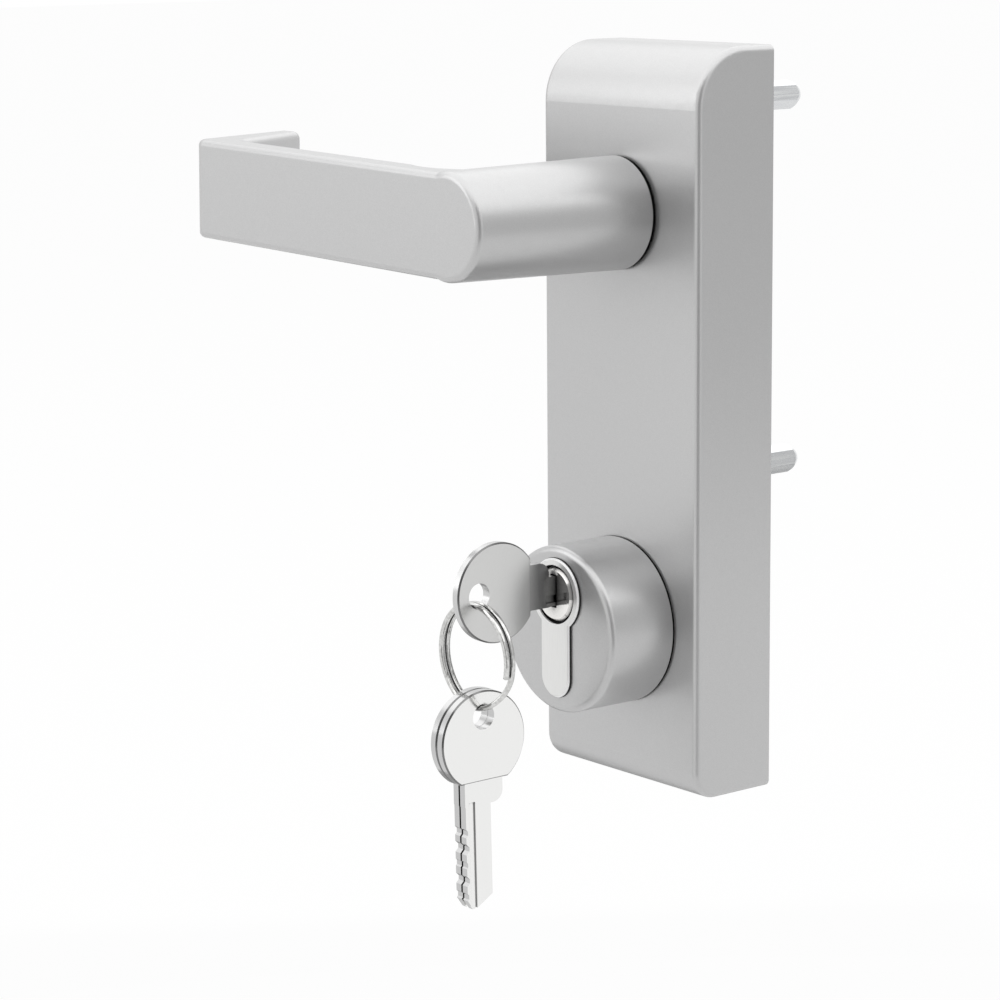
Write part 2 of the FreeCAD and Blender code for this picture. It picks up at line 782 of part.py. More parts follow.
# Torsion spring that brings the lever back up
def make_return_spring():
    wire = return_spring_wire
    bear = finger_width / 2 + fixed_gap + wire / 2
    start_angle, start_out = leg_bend(finger_angle, bear, 1)
    end_angle, end_out = leg_bend(spring_post_angle, 0, -1)
    turns = return_spring_turns + (end_angle - start_angle) / 360
    front = cup_front_y + fixed_gap * 4 + wire / 2
    back = front + return_spring_pitch * turns
    point = helix(Vector(0, front, lever_axis_z), return_spring_radius, return_spring_pitch,
                  math.radians(-start_angle), Y, X, -1)
    least_gap("return spring", point, turns, wire)
    first, first_way = point(0)
    last, last_way = point(turns * 2 * math.pi)
    tip = beside(finger_angle, return_spring_leg_end, bear, front)
    bend = beside(finger_angle, start_out, bear, front)
    far_bend = beside(spring_post_angle, end_out, 0, back)
    far_tip = beside(spring_post_angle, return_spring_leg_end, 0, back)
    inward = Vector(bend - tip).normalize()
    outward = Vector(far_tip - far_bend).normalize()
    edges = [Part.makeLine(tip, bend)] + biarc(bend, inward, first, first_way)
    edges += coil_path(turns, point)
    edges += biarc(last, last_way, far_bend, outward) + [Part.makeLine(far_bend, far_tip)]
    return wire_tube(edges, wire / 2, tip, inward)


# Slide that the lock cam lifts to let the coupling pin out
def make_coupling_slide():
    back = slide_back_y
    front = back - slide_thickness
    eye_reach = driver_boss_radius + free_gap
    arc_r = math.hypot(pin_top_r, pin_head_radius) + fixed_gap * 2
    top_z = lever_axis_z + arc_r + shoe_thickness
    strip = box(-slide_half_width, slide_half_width, front, back, slide_bottom_z, top_z)
    eye = box(-slide_eye_half_width, slide_eye_half_width, front, back,
              lever_axis_z - eye_reach - slide_travel - eye_margin, top_z)
    shoe = box(-slide_eye_half_width, slide_eye_half_width, shoe_front_y, back,
               lever_axis_z + arc_r * math.cos(math.radians(shoe_half_angle)), top_z)
    slide = strip.fuse(eye).fuse(shoe)
    slide = slide.cut(rod_y(0, lever_axis_z, arc_r, shoe_front_y - past, front))
    window = box(-eye_reach, eye_reach, front - past, back + past,
                 lever_axis_z - slide_travel, lever_axis_z)
    for z in (lever_axis_z, lever_axis_z - slide_travel):
        window = window.fuse(rod_y(0, z, eye_reach, front - past, back + past))
    slide = slide.cut(window)
    ear = box(slide_ear_x - slide_ear_half_width, 0, front, back,
              slide_ear_top_z - slide_ear_height, slide_ear_top_z)
    ledge_z = key_axis_z + cam_lobe_half_width + fixed_gap * 2 - slide_travel
    bar = box(0, foot_outer_x, front, back, slide_bottom_z, foot_top_z)
    leg = box(foot_inner_x, foot_outer_x, foot_front_y, back, slide_bottom_z, foot_top_z)
    toe = box(foot_inner_x, foot_outer_x, foot_front_y, foot_front_y + toe_depth, ledge_z, foot_top_z)
    slide = slide.fuse(ear).fuse(bar).fuse(leg).fuse(toe)
    for x, z in guide_positions:
        r = guide_shank_radius + free_gap / 2
        slide = slide.cut(box(x - r, x + r, front - past, back + past, z - slide_travel, z))
        for z_end in (z, z - slide_travel):
            slide = slide.cut(rod_y(x, z_end, r, front - past, back + past))
    return slide.removeSplitter()


# Headed rivets that guide the slide
def make_slide_guides():
    guides = []
    head_back = slide_back_y - slide_thickness - fixed_gap * 3
    for x, z in guide_positions:
        shank = riveted_post(x, z, guide_shank_radius, head_back)
        head = rod_y(x, z, guide_head_radius, head_back - guide_head_thickness, head_back)
        guides.append(shank.fuse(head).removeSplitter())
    return Part.makeCompound(guides)


# Spring that holds the slide down
def make_slide_spring():
    wire = slide_spring_wire
    pitch = (slide_spring_length - wire - 2 * fixed_gap) / slide_spring_turns
    centre = Vector(slide_ear_x, slide_back_y - slide_thickness / 2, slide_ear_top_z + wire / 2 + fixed_gap)
    point = helix(centre, slide_spring_radius, pitch, 0, Z, X)
    least_gap("slide spring", point, slide_spring_turns, wire)
    start, tangent = point(0)
    return wire_tube(coil_path(slide_spring_turns, point), wire / 2, start, tangent)


# Round collar that guards the cylinder
def make_cylinder_collar():
    base_y = front_y - gasket_thickness
    collar = rod_y(0, collar_axis_z, collar_radius, collar_front_y, base_y)
    collar = collar.makeFillet(collar_edge_round, round_edges_at(collar, collar_front_y))
    face_back_y = collar_front_y + collar_face_thickness
    hollow = rod_y(0, collar_axis_z, collar_radius - collar_wall, face_back_y, base_y + past)
    sleeve = profile_prism(collar_sleeve_wall, face_back_y - past, base_y + past)
    hollow = hollow.cut(sleeve)
    for sx in (-1, 1):
        hollow = hollow.cut(rod_y(sx * collar_screw_x, collar_axis_z, collar_boss_radius,
                                  collar_front_y, base_y + past))
    collar = collar.cut(hollow).cut(profile_prism(2 * fixed_gap, collar_front_y - past, base_y + past))
    for sx in (-1, 1):
        hole = rod_y(sx * collar_screw_x, collar_axis_z, collar_screw_radius + fixed_gap,
                     base_y - collar_hole_depth, base_y + past)
        collar = collar.cut(hole)
    return collar.removeSplitter()


# Thin dark gasket under the collar
def make_collar_gasket():
    ring = rod_y(0, collar_axis_z, collar_radius - gasket_setback, front_y - gasket_thickness, front_y)
    ring = ring.cut(profile_prism(free_gap, front_y - past, front_y + past))
    for sx in (-1, 1):
        ring = ring.cut(rod_y(sx * collar_screw_x, collar_axis_z, collar_screw_radius + fixed_gap,
                              front_y - past, front_y + past))
    return ring


# Screws that hold the collar from inside the cover
def make_collar_screws():
    screws = []
    for sx in (-1, 1):
        x = sx * collar_screw_x
        head = rod_y(x, collar_axis_z, collar_screw_head_radius, inner_front_y,
                     inner_front_y + collar_screw_head_thickness)
        shank = rod_y(x, collar_axis_z, collar_screw_radius, front_y - collar_screw_length, inner_front_y)
        head_y = inner_front_y + collar_screw_head_thickness
        slot = box(x - collar_slot_length / 2, x + collar_slot_length / 2, head_y - collar_slot_depth,
                   head_y + past, collar_axis_z - collar_slot_width / 2,
                   collar_axis_z + collar_slot_width / 2)
        screws.append(head.fuse(shank).cut(slot).removeSplitter())
    return Part.makeCompound(screws)


# Body of the half profile cylinder
def make_cylinder_body():
    body = profile_prism(0, cylinder_front_y, cylinder_back_y)
    front = edges_where(body, lambda m, e: abs(m.y - cylinder_front_y) < 0.01)
    body = body.makeChamfer(profile_chamfer, front)
    side = profile_radius + past
    body = body.cut(box(-side, side, cam_zone_front_y, cam_zone_back_y,
                        key_axis_z - bridge_top_drop, key_axis_z + side))
    body = body.cut(rod_y(0, key_axis_z, plug_radius + running_gap, cylinder_front_y - past,
                          cam_zone_front_y + past))
    body = body.cut(rod_y(0, key_axis_z, plug_tail_radius + running_gap, cam_zone_back_y - past,
                          cylinder_back_y - rear_wall))
    for y in chamber_ys:
        body = body.cut(rod_z(0, y, chamber_radius, key_axis_z - profile_height, key_axis_z))
    screw_z = key_axis_z - cylinder_screw_drop
    return body.cut(rod_x(cylinder_screw_y, screw_z, cylinder_screw_radius + fixed_gap, -side, side))


# Plug that the key turns
def make_cylinder_plug():
    front = cylinder_front_y - plug_proud
    plug = rod_y(0, key_axis_z, plug_radius, front + plug_front_depth, cam_zone_front_y)
    nose = rod_y(0, key_axis_z, plug_front_radius, front, front + plug_front_depth)
    plug = plug.fuse(nose.makeChamfer(plug_chamfer, round_edges_at(nose, front)))
    tail = rod_y(0, key_axis_z, plug_tail_radius, cam_zone_front_y, cylinder_back_y - rear_wall - running_gap)
    groove = rod_y(0, key_axis_z, plug_tail_radius + past, cam_zone_front_y,
                   cam_zone_front_y + plug_circlip_thickness + 2 * fixed_gap)
    groove = groove.cut(rod_y(0, key_axis_z, plug_groove_radius, cam_zone_front_y - past, cam_zone_back_y))
    tail = tail.cut(groove)
    for side in (-1, 1):
        flat_x = side * (plug_tail_flats / 2 + plug_tail_radius)
        tail = tail.cut(box(flat_x - plug_tail_radius, flat_x + plug_tail_radius, cam_front_y - fixed_gap,
                            cam_back_y + fixed_gap, key_axis_z - plug_radius, key_axis_z + plug_radius))
    plug = plug.fuse(tail)
    plug = plug.cut(box(-keyway_width / 2, keyway_width / 2, front - past, cam_zone_front_y - keyway_end_wall,
                        key_axis_z + keyway_low, key_axis_z + keyway_high))
    for y in chamber_ys:
        plug = plug.cut(rod_z(0, y, chamber_radius, key_axis_z - plug_radius - past, key_axis_z))
    return plug.removeSplitter()


# Cam on the plug's tail
def make_cylinder_cam():
    ring = rod_y(0, key_axis_z, cam_ring_radius, cam_front_y, cam_back_y)
    lobe = box(-cam_lobe_half_width, cam_lobe_half_width, cam_front_y, cam_back_y,
               key_axis_z - cam_lobe_radius, key_axis_z)
    lobe = lobe.common(rod_y(0, key_axis_z, cam_lobe_radius, cam_front_y, cam_back_y))
    half_flat = plug_tail_flats / 2 + fixed_gap
    hole = rod_y(0, key_axis_z, plug_tail_radius + fixed_gap, cam_front_y - past, cam_back_y + past)
    hole = hole.common(box(-half_flat, half_flat, cam_front_y - past, cam_back_y + past,
                           key_axis_z - plug_radius, key_axis_z + plug_radius))
    return ring.fuse(lobe).cut(hole).removeSplitter()


# Key pins, driver pins, springs and chamber plugs, one of each for every cut
def make_key_pins():
    pins = []
    for y, cut in zip(chamber_ys, cut_depths):
        low = key_axis_z - math.sqrt(plug_radius ** 2 - tumbler_radius ** 2) + fixed_gap
        tip = key_axis_z - cut - fixed_gap
        cone = tumbler_radius - key_pin_tip_radius
        pin = rod_z(0, y, tumbler_radius, low, tip - cone)
        point = Part.makeCone(tumbler_radius, key_pin_tip_radius, cone, Vector(0, y, tip - cone), Z)
        pins.append(pin.fuse(point))
    return Part.makeCompound(pins)


def make_driver_pins():
    top = shear_z - fixed_gap * 2
    return Part.makeCompound([rod_z(0, y, tumbler_radius, top - driver_pin_length, top) for y in chamber_ys])


def chamber_bottom():
    """Lowest level of the chambers inside the rounded foot of the body."""
    foot_radius = profile_foot_width / 2
    foot_z = key_axis_z + profile_radius - profile_height + foot_radius
    return foot_z - math.sqrt(foot_radius ** 2 - chamber_radius ** 2)


def make_chamber_plugs():
    z = chamber_bottom() + fixed_gap
    return Part.makeCompound([rod_z(0, y, chamber_radius - fixed_gap, z, z + chamber_plug_length)
                              for y in chamber_ys])


def make_tumbler_springs():
    top = shear_z - fixed_gap * 3 - driver_pin_length
    low = chamber_bottom() + chamber_plug_length + fixed_gap * 2
    outer = tumbler_radius - tumbler_spring_margin
    springs = []
    for y in chamber_ys:
        tube = rod_z(0, y, outer, low, top)
        springs.append(tube.cut(rod_z(0, y, outer - tumbler_spring_wall, low - past, top + past)))
    return Part.makeCompound(springs)


# Screw and bracket that hold the cylinder to the chassis
def make_cylinder_cradle():
    z = key_axis_z - cylinder_screw_drop
    inner = profile_foot_width / 2 + 4 * fixed_gap
    outer = inner + cradle_thickness
    base_front = chassis_front_y - cradle_base_thickness
    low = z - cradle_half_height
    high = z + cradle_half_height
    foot = outer + cradle_foot_length
    cradle = box(-foot, foot, base_front, chassis_front_y, low, high)
    for sx in (-1, 1):
        x0 = min(sx * inner, sx * outer)
        cradle = cradle.fuse(box(x0, x0 + cradle_thickness, cylinder_screw_y - cradle_reach, chassis_front_y,
                                 low, high))
    hole = rod_x(cylinder_screw_y, z, cylinder_screw_radius + fixed_gap, -outer - past, outer + past)
    return cradle.cut(hole).removeSplitter()


def make_cylinder_screw():
    z = key_axis_z - cylinder_screw_drop
    outer = profile_foot_width / 2 + 4 * fixed_gap + cradle_thickness + fixed_gap
    head_x = -outer - cylinder_screw_head_thickness
    shank = rod_x(cylinder_screw_y, z, cylinder_screw_radius, -outer, outer + cylinder_screw_radius / 2)
    head = rod_x(cylinder_screw_y, z, cylinder_screw_head_radius, head_x, -outer)
    slot = box(head_x - past, head_x + cylinder_slot_depth, cylinder_screw_y - cylinder_slot_width / 2,
               cylinder_screw_y + cylinder_slot_width / 2, z - cylinder_screw_head_radius - past,
               z + cylinder_screw_head_radius + past)
    return head.fuse(shank).cut(slot).removeSplitter()


# One key, blade pointing into the lock
def make_key():
    """Key in the plane X = 0: thick round bow with a hole, thinner shank, cut blade."""
    half = bow_thickness / 2
    start = bow_centre_y + bow_to_shank
    bow = rod_x(bow_centre_y, key_hole_z, bow_radius, -half, half)
    bow = bow.cut(box(-half - past, half + past, start, start + bow_radius, key_hole_z - bow_radius,
                      key_hole_z + bow_radius))
    bow = bow.makeChamfer(bow_chamfer, edges_where(bow, lambda m, e: abs(abs(m.x) - half) < 0.01))

    half = blade_thickness / 2
    low = key_axis_z + shank_low
    high = key_axis_z + shank_high
    corners = [(Vector(-half, start - shank_overlap, low), 0), (Vector(-half, shank_end_y, low), 0),
               (Vector(-half, shank_end_y, high), shank_corner_round),
               (Vector(-half, start - shank_overlap, high), 0)]
    shank = Part.Face(rounded_outline(corners)).extrude(X * blade_thickness)

    low = key_axis_z + blade_low
    high = key_axis_z + blade_high
    outline = [(shank_end_y - past, high), (shank_end_y - past, low), (blade_end_y - blade_tip_low[0], low),
               (blade_end_y, key_axis_z + blade_tip_low[1]), (blade_end_y, key_axis_z + blade_tip_high[1]),
               (blade_end_y - blade_tip_high[0], high)]
    blade = plate_x(outline, -half, half)
    for y, cut in zip(chamber_ys, cut_depths):
        reach = cut_flat / 2 + past - cut - blade_low
        notch = [(y - reach, low - past), (y - cut_flat / 2, key_axis_z - cut),
                 (y + cut_flat / 2, key_axis_z - cut), (y + reach, low - past)]
        blade = blade.cut(plate_x(notch, -half - past, half + past))
    key = bow.fuse(shank).fuse(blade).removeSplitter()
    for side, level, half_height in blade_grooves:
        x0 = min(side * (half - blade_groove_depth), side * (half + past))
        key = key.cut(box(x0, x0 + blade_groove_depth + past, shank_end_y - past, blade_end_y + past,
                          key_axis_z + level - half_height, key_axis_z + level + half_height))
    return key.cut(rod_x(key_hole_y, key_hole_z, bow_hole_radius, -bow_thickness, bow_thickness))


def ring_centre():
    """Middle of the split ring, hung in the hole of the key in the lock."""
    return Vector(0, key_hole_y, key_hole_z - ring_drop_in_hole - ring_radius)


def hang_key(offset):
    """A key turned blade down in the ring, turned a little, and moved along its own normal."""
    key = make_key()
    key.translate(Vector(0, -key_hole_y, -key_hole_z))
    key.rotate(Vector(), X, spare_key_tilt - 90)
    key.rotate(Vector(), Z, spare_key_turn)
    a = math.radians(spare_key_turn)
    normal = Vector(math.cos(a), math.sin(a), 0)
    hole = ring_centre() - Z * (ring_radius + spare_hole_drop)
    key.translate(hole + normal * offset)
    return key


# Split ring of about two turns of wire
def make_split_ring():
    """Two flat turns of wire with a short climb from one to the other."""
    centre = ring_centre()
    half = (ring_wire + ring_turn_gap) / 2
    flat_span = 360 - ring_climb

    def place(angle, y):
        a = math.radians(angle)
        return centre + Vector(ring_radius * math.cos(a), y, ring_radius * math.sin(a))

    def way(angle):
        a = math.radians(angle)
        return Vector(-math.sin(a), 0, math.cos(a))
    first = ring_climb_start + ring_climb - 360
    edges = []
    steps = 4
    for level in (-half, half):
        for i in range(steps):
            a0 = first + flat_span * i / steps
            a1 = first + flat_span * (i + 1) / steps
            edges.append(Part.Arc(place(a0, level), place((a0 + a1) / 2, level), place(a1, level)).toShape())
        if level < 0:
            edges += biarc(place(ring_climb_start, -half), way(ring_climb_start),
                           place(ring_climb_start + ring_climb, half), way(ring_climb_start + ring_climb))
    print("split ring least gap to itself", round(2 * half - ring_wire, 3), "mm")
    return wire_tube(edges, ring_wire / 2, place(first, -half), way(first))


pieces = {
    "housing_cover": make_housing_cover(),
    "chassis_plate": make_chassis_plate(),
    "chassis_screws": make_chassis_screws(),
    "fixing_studs": make_fixing_studs(),
    "bearing_bush": make_bearing_bush(),
    "lever_handle": make_lever_handle(),
    "lever_journal": make_lever_journal(),
    "grub_screw": make_grub_screw(),
    "journal_circlip": make_circlip(circlip_radius, circlip_groove_radius + fixed_gap, circlip_thickness,
                                    lever_axis_z, inner_front_y + fixed_gap, circlip_opening),
    "follower_cup": make_follower_cup(),
    "coupling_pin": make_coupling_pin(),
    "pin_spring": make_pin_spring(),
    "spindle_driver": make_spindle_driver(),
    "tail_spindle": make_tail_spindle(),
    "stop_posts": make_stop_posts(),
    "spring_post": make_spring_post(),
    "return_spring": make_return_spring(),
    "coupling_slide": make_coupling_slide(),
    "slide_guides": make_slide_guides(),
    "slide_spring": make_slide_spring(),
    "cylinder_collar": make_cylinder_collar(),
    "collar_gasket": make_collar_gasket(),
    "collar_screws": make_collar_screws(),
    "cylinder_body": make_cylinder_body(),
    "cylinder_plug": make_cylinder_plug(),
    "plug_circlip": make_circlip(plug_circlip_radius, plug_groove_radius + fixed_gap, plug_circlip_thickness,
                                 key_axis_z, cam_zone_front_y + fixed_gap, plug_circlip_opening),
    "cylinder_cam": make_cylinder_cam(),
    "key_pins": make_key_pins(),
    "driver_pins": make_driver_pins(),
    "tumbler_springs": make_tumbler_springs(),
    "chamber_plugs": make_chamber_plugs(),
    "cylinder_cradle": make_cylinder_cradle(),
    "cylinder_screw": make_cylinder_screw(),
    "lock_key": make_key(),
    "split_ring": make_split_ring(),
    "spare_key_front": hang_key((bow_thickness + spare_key_gap) / 2),
    "spare_key_back": hang_key(-(bow_thickness + spare_key_gap) / 2),
}

os.makedirs("parts", exist_ok=True)
for name, shape in pieces.items():
    shape.exportStep("parts/" + name + ".step")
    box_of = shape.BoundBox
    corners = (box_of.XMin, box_of.XMax, box_of.YMin, box_of.YMax, box_of.ZMin, box_of.ZMax)
    print(name, "valid" if shape.isValid() else "INVALID", len(shape.Solids), round(shape.Volume, 1),
          [round(v, 2) for v in corners])
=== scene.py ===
import math

import bpy
import numpy as np
from mathutils import Matrix, Vector


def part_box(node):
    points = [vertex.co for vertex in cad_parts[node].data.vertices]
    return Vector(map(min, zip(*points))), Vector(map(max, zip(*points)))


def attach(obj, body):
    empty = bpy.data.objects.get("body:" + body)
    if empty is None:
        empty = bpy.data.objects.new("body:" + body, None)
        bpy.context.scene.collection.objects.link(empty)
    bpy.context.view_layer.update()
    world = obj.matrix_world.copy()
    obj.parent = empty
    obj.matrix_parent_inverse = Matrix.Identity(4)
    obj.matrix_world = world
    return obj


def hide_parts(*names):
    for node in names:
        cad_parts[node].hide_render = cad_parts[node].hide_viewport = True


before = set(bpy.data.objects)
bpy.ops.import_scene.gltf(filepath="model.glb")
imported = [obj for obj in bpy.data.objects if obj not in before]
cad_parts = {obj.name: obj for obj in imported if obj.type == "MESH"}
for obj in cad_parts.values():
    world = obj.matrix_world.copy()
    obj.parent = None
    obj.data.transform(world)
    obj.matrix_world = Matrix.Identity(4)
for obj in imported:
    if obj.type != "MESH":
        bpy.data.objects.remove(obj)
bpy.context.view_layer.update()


# Cover of the device. It is a hollow zinc die casting, blasted and painted satin silver, and four
# countersunk screws hold the chassis plate in its open back. The lever and the collar get the same paint.
def plain_finish(name, colour, metallic, roughness):
    """A material with one surface shader; returns it with its node tree and that shader."""
    finish = bpy.data.materials.new(name)
    finish.use_nodes = True
    tree = finish.node_tree
    surface = tree.nodes["Principled BSDF"]
    surface.inputs["Base Color"].default_value = (*colour, 1)
    surface.inputs["Metallic"].default_value = metallic
    surface.inputs["Roughness"].default_value = roughness
    return finish, tree, surface


def grain_on_piece(tree, stretch, size, detail=3.0):
    """Noise on the piece's own coordinates: grains of the given size in metres, drawn out by stretch."""
    place = tree.nodes.new("ShaderNodeTexCoord")
    aim = tree.nodes.new("ShaderNodeMapping")
    aim.inputs["Scale"].default_value = stretch
    noise = tree.nodes.new("ShaderNodeTexNoise")
    noise.inputs["Scale"].default_value = 1 / size
    noise.inputs["Detail"].default_value = detail
    tree.links.new(place.outputs["Object"], aim.inputs["Vector"])
    tree.links.new(aim.outputs["Vector"], noise.inputs["Vector"])
    return noise.outputs["Fac"]


def between(tree, fac, low, high, start=0.3, end=0.7):
    """Value that goes from low to high as fac goes from start to end."""
    spread = tree.nodes.new("ShaderNodeMapRange")
    spread.inputs["From Min"].default_value = start
    spread.inputs["From Max"].default_value = end
    spread.inputs["To Min"].default_value = low
    spread.inputs["To Max"].default_value = high
    tree.links.new(fac, spread.inputs["Value"])
    return spread.outputs["Result"]


def two_tone(tree, fac, first, second):
    """Colour that goes from first to second as fac goes from 0 to 1. Each of the two is a plain colour
    or the output of another node."""
    blend = tree.nodes.new("ShaderNodeMix")
    blend.data_type = "RGBA"
    tree.links.new(fac, blend.inputs["Factor"])
    for socket, colour in (("A", first), ("B", second)):
        if isinstance(colour, tuple):
            blend.inputs[socket].default_value = (*colour, 1)
        else:
            tree.links.new(colour, blend.inputs[socket])
    return blend.outputs["Result"]


def relief(tree, surface, height, depth):
    """Bump of the given depth in metres under the surface shader."""
    bump = tree.nodes.new("ShaderNodeBump")
    bump.inputs["Strength"].default_value = 1.0
    bump.inputs["Distance"].default_value = depth
    tree.links.new(height, bump.inputs["Height"])
    tree.links.new(bump.outputs["Normal"], surface.inputs["Normal"])


def shade_crevices(tree, surface, colour, reach, dark_share, clear_share, dark=(0.015, 0.015, 0.016)):
    """Base colour with painted shade in crevices: it goes to dark by the share of free space within
    reach, fully dark below the first share, unchanged above the second."""
    hollow = tree.nodes.new("ShaderNodeAmbientOcclusion")
    hollow.samples = 8
    hollow.inputs["Distance"].default_value = reach
    clear = between(tree, hollow.outputs["AO"], 0, 1, dark_share, clear_share)
    tree.links.new(two_tone(tree, clear, dark, colour), surface.inputs["Base Color"])


def dress(finish, *names):
    """Gives the named CAD pieces a finish."""
    for name in names:
        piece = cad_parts[name]
        if not piece.data.materials:
            piece.data.materials.append(finish)
        for place in piece.material_slots:
            place.material = finish


silver_paint, tree, surface = plain_finish("satin_silver_paint", (0.54, 0.54, 0.54), metallic=0.75,
                                           roughness=0.34)
orange_peel = grain_on_piece(tree, (1, 1, 1), size=0.0016)
flake = grain_on_piece(tree, (1, 1, 1), size=0.00016, detail=1.0)
paint = two_tone(tree, between(tree, flake, 0, 1), (0.515, 0.515, 0.517), (0.57, 0.57, 0.57))
# Painted shade darkens the paint in narrow gaps, such as round the foot of the collar and the neck.
shade_crevices(tree, surface, paint, reach=0.0025, dark_share=0.4, clear_share=0.49)
tree.links.new(between(tree, orange_peel, 0.31, 0.37), surface.inputs["Roughness"])
relief(tree, surface, orange_peel, depth=0.000012)
dress(silver_paint, "housing_cover", "lever_handle", "cylinder_collar")

# Chassis plate of rolled steel in the back of the cover, zinc plated and clear passivated, with the
# riveted posts, guides and cradle on it and the countersunk screws that hold it.
zinc_plate, tree, surface = plain_finish("zinc_plated_steel", (0.6, 0.62, 0.64), metallic=1.0, roughness=0.38)
rolling = grain_on_piece(tree, (1, 1, 12), size=0.004)
spangle = grain_on_piece(tree, (1, 1, 1), size=0.007)
tree.links.new(two_tone(tree, between(tree, spangle, 0, 1), (0.5, 0.52, 0.56), (0.68, 0.69, 0.67)),
               surface.inputs["Base Color"])
tree.links.new(between(tree, rolling, 0.28, 0.46), surface.inputs["Roughness"])
relief(tree, surface, rolling, depth=0.00001)
dress(zinc_plate, "chassis_plate", "chassis_screws", "stop_posts", "spring_post", "slide_guides",
      "cylinder_cradle", "cylinder_screw", "collar_screws")

# Two fixing studs of bright drawn hexagonal steel bar, zinc plated and staked in the chassis, and the
# square spindle. They pass through the door, and the marks of the drawing die run along them.
drawn_zinc, tree, surface = plain_finish("drawn_zinc_steel", (0.7, 0.71, 0.72), metallic=1.0, roughness=0.26)
drawn = grain_on_piece(tree, (1, 0.03, 1), size=0.0003, detail=2.0)
tree.links.new(two_tone(tree, between(tree, drawn, 0, 1), (0.64, 0.65, 0.67), (0.76, 0.77, 0.77)),
               surface.inputs["Base Color"])
tree.links.new(between(tree, drawn, 0.2, 0.32), surface.inputs["Roughness"])
relief(tree, surface, drawn, depth=0.000003)
dress(drawn_zinc, "fixing_studs", "tail_spindle")

# Journal of the lever, turned from steel bar and zinc plated, with fine turning marks round it. A grub
# screw holds it in the neck, and it runs in the bush.
turned_zinc, tree, surface = plain_finish("turned_zinc_steel", (0.68, 0.69, 0.7), metallic=1.0, roughness=0.3)
turning = grain_on_piece(tree, (0.02, 1, 0.02), size=0.0005, detail=2.0)
tree.links.new(two_tone(tree, between(tree, turning, 0, 1), (0.6, 0.61, 0.63), (0.74, 0.75, 0.75)),
               surface.inputs["Base Color"])
tree.links.new(between(tree, turning, 0.24, 0.38), surface.inputs["Roughness"])
relief(tree, surface, turning, depth=0.000008)
dress(turned_zinc, "lever_journal")

# Bearing bush moulded in black nylon. It shows only as a thin dark ring between the cover and the
# neck of the lever, which turns in it.
black_nylon, tree, surface = plain_finish("black_nylon", (0.012, 0.012, 0.013), metallic=0.0, roughness=0.5)
mould = grain_on_piece(tree, (1, 1, 1), size=0.0004)
tree.links.new(two_tone(tree, between(tree, mould, 0, 1), (0.008, 0.008, 0.009), (0.018, 0.018, 0.019)),
               surface.inputs["Base Color"])
tree.links.new(between(tree, mould, 0.42, 0.6), surface.inputs["Roughness"])
relief(tree, surface, mould, depth=0.00001)
dress(black_nylon, "bearing_bush")

# Gasket under the collar, punched from black rubber sheet, so its edge is rough and dull. It keeps the
# rain out of the cover.
black_rubber, tree, surface = plain_finish("black_rubber", (0.01, 0.01, 0.01), metallic=0.0, roughness=0.8)
cut_face = grain_on_piece(tree, (1, 1, 1), size=0.0002)
tree.links.new(between(tree, cut_face, 0.7, 0.9), surface.inputs["Roughness"])
relief(tree, surface, cut_face, depth=0.00002)
dress(black_rubber, "collar_gasket")

# Grub screw under the neck, and the circlips that keep the journal and the plug in place: hardened
# steel, blackened and oiled.
black_steel, tree, surface = plain_finish("blackened_steel", (0.04, 0.04, 0.043), metallic=0.9, roughness=0.4)
oil = grain_on_piece(tree, (1, 1, 1), size=0.0012)
tree.links.new(two_tone(tree, between(tree, oil, 0, 1), (0.03, 0.03, 0.034), (0.07, 0.07, 0.072)),
               surface.inputs["Base Color"])
tree.links.new(between(tree, oil, 0.28, 0.5), surface.inputs["Roughness"])
relief(tree, surface, oil, depth=0.00001)
dress(black_steel, "grub_screw", "journal_circlip", "plug_circlip")

# Follower cup, spindle driver, coupling pin, coupling slide and cam: sintered or pressed steel, with
# its fine porous skin. They pass the turn of the lever on, and the lock moves the slide.
sintered, tree, surface = plain_finish("sintered_steel", (0.36, 0.35, 0.34), metallic=1.0, roughness=0.5)
pores = grain_on_piece(tree, (1, 1, 1), size=0.0005)
tree.links.new(two_tone(tree, between(tree, pores, 0, 1), (0.27, 0.265, 0.26), (0.42, 0.41, 0.4)),
               surface.inputs["Base Color"])
tree.links.new(between(tree, pores, 0.42, 0.6), surface.inputs["Roughness"])
relief(tree, surface, pores, depth=0.00003)
dress(sintered, "follower_cup", "spindle_driver", "coupling_slide", "cylinder_cam", "coupling_pin")


